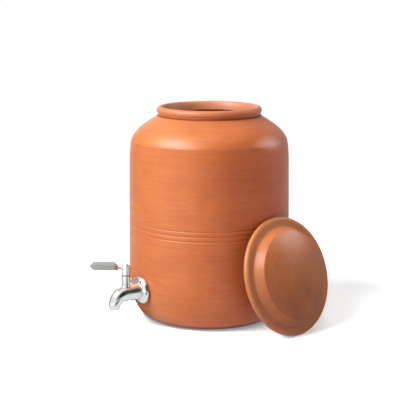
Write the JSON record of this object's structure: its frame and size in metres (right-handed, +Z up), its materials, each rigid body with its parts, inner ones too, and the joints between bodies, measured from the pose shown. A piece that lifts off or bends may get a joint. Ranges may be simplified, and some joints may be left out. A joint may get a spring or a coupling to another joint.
{
  "type": "clay water pot with tap",
  "caption": "Round turned-clay water pot with a loose domed clay lid leaning on it and a curved steel tap near its base, worked by a quarter-turn lever.",
  "frame": {"origin": "centre of the pot's flat base, on the surface that it stands on", "axes": "+Z up along the pot's axis; -Y is the way that the tap points; the lid leans on the pot's +X side"},
  "size_m": [0.2666, 0.2757, 0.2756],
  "materials": {
    "clay": "satin",
    "polished_steel": "polished",
    "satin_steel": "satin",
    "plain_steel": "satin",
    "silicone": "satin",
    "ptfe": "matte"
  },
  "bodies": {
    "pot_and_tap": {"pot": "clay", "tap_body": "polished_steel", "escutcheon": "polished_steel", "outer_washer": "silicone", "inner_washer": "silicone", "steel_washer": "plain_steel", "lock_nut": "plain_steel", "valve_sleeve": "ptfe", "bonnet": "polished_steel", "thrust_washer": "ptfe"},
    "lever": {"lever_hub": "polished_steel", "lever_neck": "polished_steel", "lever_grip": "satin_steel", "cap_screw": "polished_steel", "valve_plug": "plain_steel", "stem_seals": "silicone"},
    "lid": {"lid": "clay"}
  },
  "joints": [
    {"name": "lever_turn", "type": "hinge", "parent": "pot_and_tap", "child": "lever", "pos_m": [0, -0.12863, 0.07], "axis": [0, 0, 1], "range_deg": [-60, 30]},
    {"name": "lid_away", "type": "slide", "parent": "pot_and_tap", "child": "lid", "axis": [0.9407, 0.154, 0.3024], "range_m": [0, 0.3]}
  ]
}
